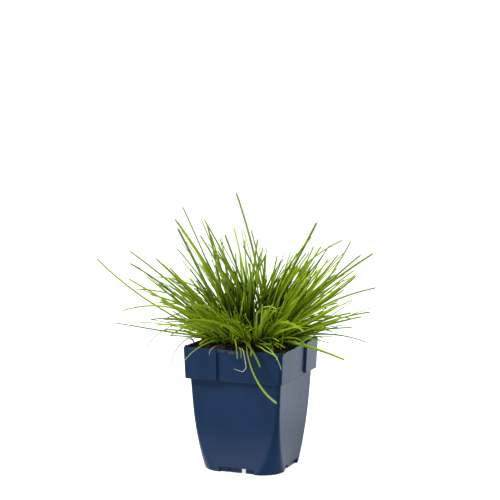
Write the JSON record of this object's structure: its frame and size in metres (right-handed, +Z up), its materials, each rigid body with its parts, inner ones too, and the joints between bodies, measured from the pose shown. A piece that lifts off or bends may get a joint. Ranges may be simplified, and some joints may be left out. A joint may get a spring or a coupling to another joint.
{
  "type": "potted tufted hair grass",
  "caption": "Young clump of fine green ornamental grass growing in a square tapered blue plastic nursery pot filled with compost.",
  "frame": {"origin": "on the ground under the middle of the pot", "axes": "+Z up; X and Y along the pot's sides; -Y is the side that the picture sees almost square on, +X the side at its right"},
  "size_m": [0.2954, 0.2689, 0.289],
  "materials": {
    "pot_plastic": "satin moulded polypropylene, dark blue",
    "compost": "damp crumbly peat compost",
    "fresh_leaf": "living grass leaf, slightly glossy",
    "dry_leaf": "dry straw-coloured leaf"
  },
  "bodies": {
    "root": {"pot": "pot_plastic", "soil": "compost", "tiller_01": "fresh_leaf", "tiller_02": "fresh_leaf", "tiller_03": "fresh_leaf", "tiller_04": "fresh_leaf", "tiller_05": "fresh_leaf", "tiller_06": "fresh_leaf", "tiller_07": "fresh_leaf", "tiller_08": "fresh_leaf", "tiller_09": "fresh_leaf", "tiller_10": "fresh_leaf", "tiller_11": "fresh_leaf", "tiller_12": "fresh_leaf", "tiller_13": "fresh_leaf", "tiller_14": "fresh_leaf", "tiller_15": "fresh_leaf", "tiller_16": "fresh_leaf", "tiller_17": "fresh_leaf", "tiller_18": "fresh_leaf", "tiller_19": "fresh_leaf", "tiller_20": "fresh_leaf", "tiller_21": "fresh_leaf", "tiller_22": "fresh_leaf", "tiller_23": "fresh_leaf", "tiller_24": "fresh_leaf", "tiller_25": "fresh_leaf", "tiller_26": "fresh_leaf", "tiller_27": "fresh_leaf", "tiller_28": "fresh_leaf", "tiller_29": "fresh_leaf", "tiller_30": "fresh_leaf", "tiller_31": "fresh_leaf", "tiller_32": "fresh_leaf", "tiller_33": "fresh_leaf", "tiller_34": "fresh_leaf", "tiller_35": "fresh_leaf", "tiller_36": "fresh_leaf", "tiller_37": "fresh_leaf", "tiller_38": "fresh_leaf", "tiller_39": "fresh_leaf", "tiller_40": "fresh_leaf", "tiller_41": "fresh_leaf", "tiller_42": "fresh_leaf", "tiller_43": "fresh_leaf", "tiller_44": "fresh_leaf", "tiller_45": "fresh_leaf", "tiller_46": "fresh_leaf", "tiller_47": "fresh_leaf", "tiller_48": "fresh_leaf", "tiller_49": "fresh_leaf", "tiller_50": "fresh_leaf", "tiller_51": "fresh_leaf", "tiller_52": "fresh_leaf", "tiller_53": "fresh_leaf", "tiller_54": "fresh_leaf", "tiller_55": "fresh_leaf", "tiller_56": "fresh_leaf", "dry_leaf_1": "dry_leaf", "dry_leaf_2": "dry_leaf"}
  },
  "joints": []
}
